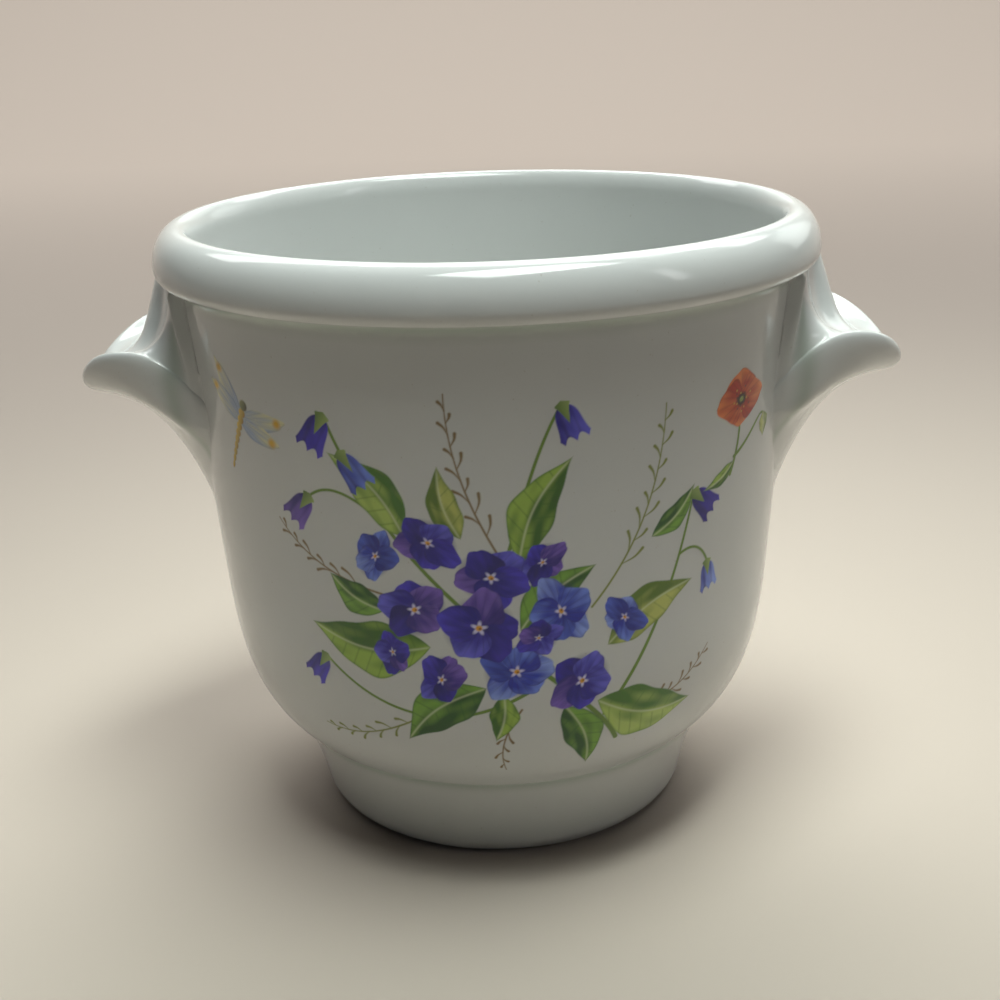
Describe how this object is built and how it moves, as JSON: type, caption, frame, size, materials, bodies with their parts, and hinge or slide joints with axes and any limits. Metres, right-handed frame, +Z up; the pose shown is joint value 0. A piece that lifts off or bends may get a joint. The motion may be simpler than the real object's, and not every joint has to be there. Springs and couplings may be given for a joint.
{
  "type": "cachepot",
  "caption": "Round porcelain cachepot with a heavy rolled rim, a separate foot ring and an ear handle on each side.",
  "frame": {"origin": "centre of the foot ring's contact circle, on the table", "axes": "+Z up along the axis of the pot; +X from the middle of the pot to the right-hand ear handle; +Y to the back; the decorated front faces -Y"},
  "size_m": [0.2038, 0.159, 0.15],
  "materials": {
    "glazed_porcelain": "clear gloss glaze over white porcelain",
    "foot_porcelain": "clear gloss glaze over white porcelain, wiped bare on the standing edge",
    "enamel": "overglaze enamel colours fired into the gloss glaze"
  },
  "bodies": {
    "root": {"bowl": "glazed_porcelain", "foot_ring": "foot_porcelain", "handle_left": "glazed_porcelain", "handle_right": "glazed_porcelain"}
  },
  "joints": []
}
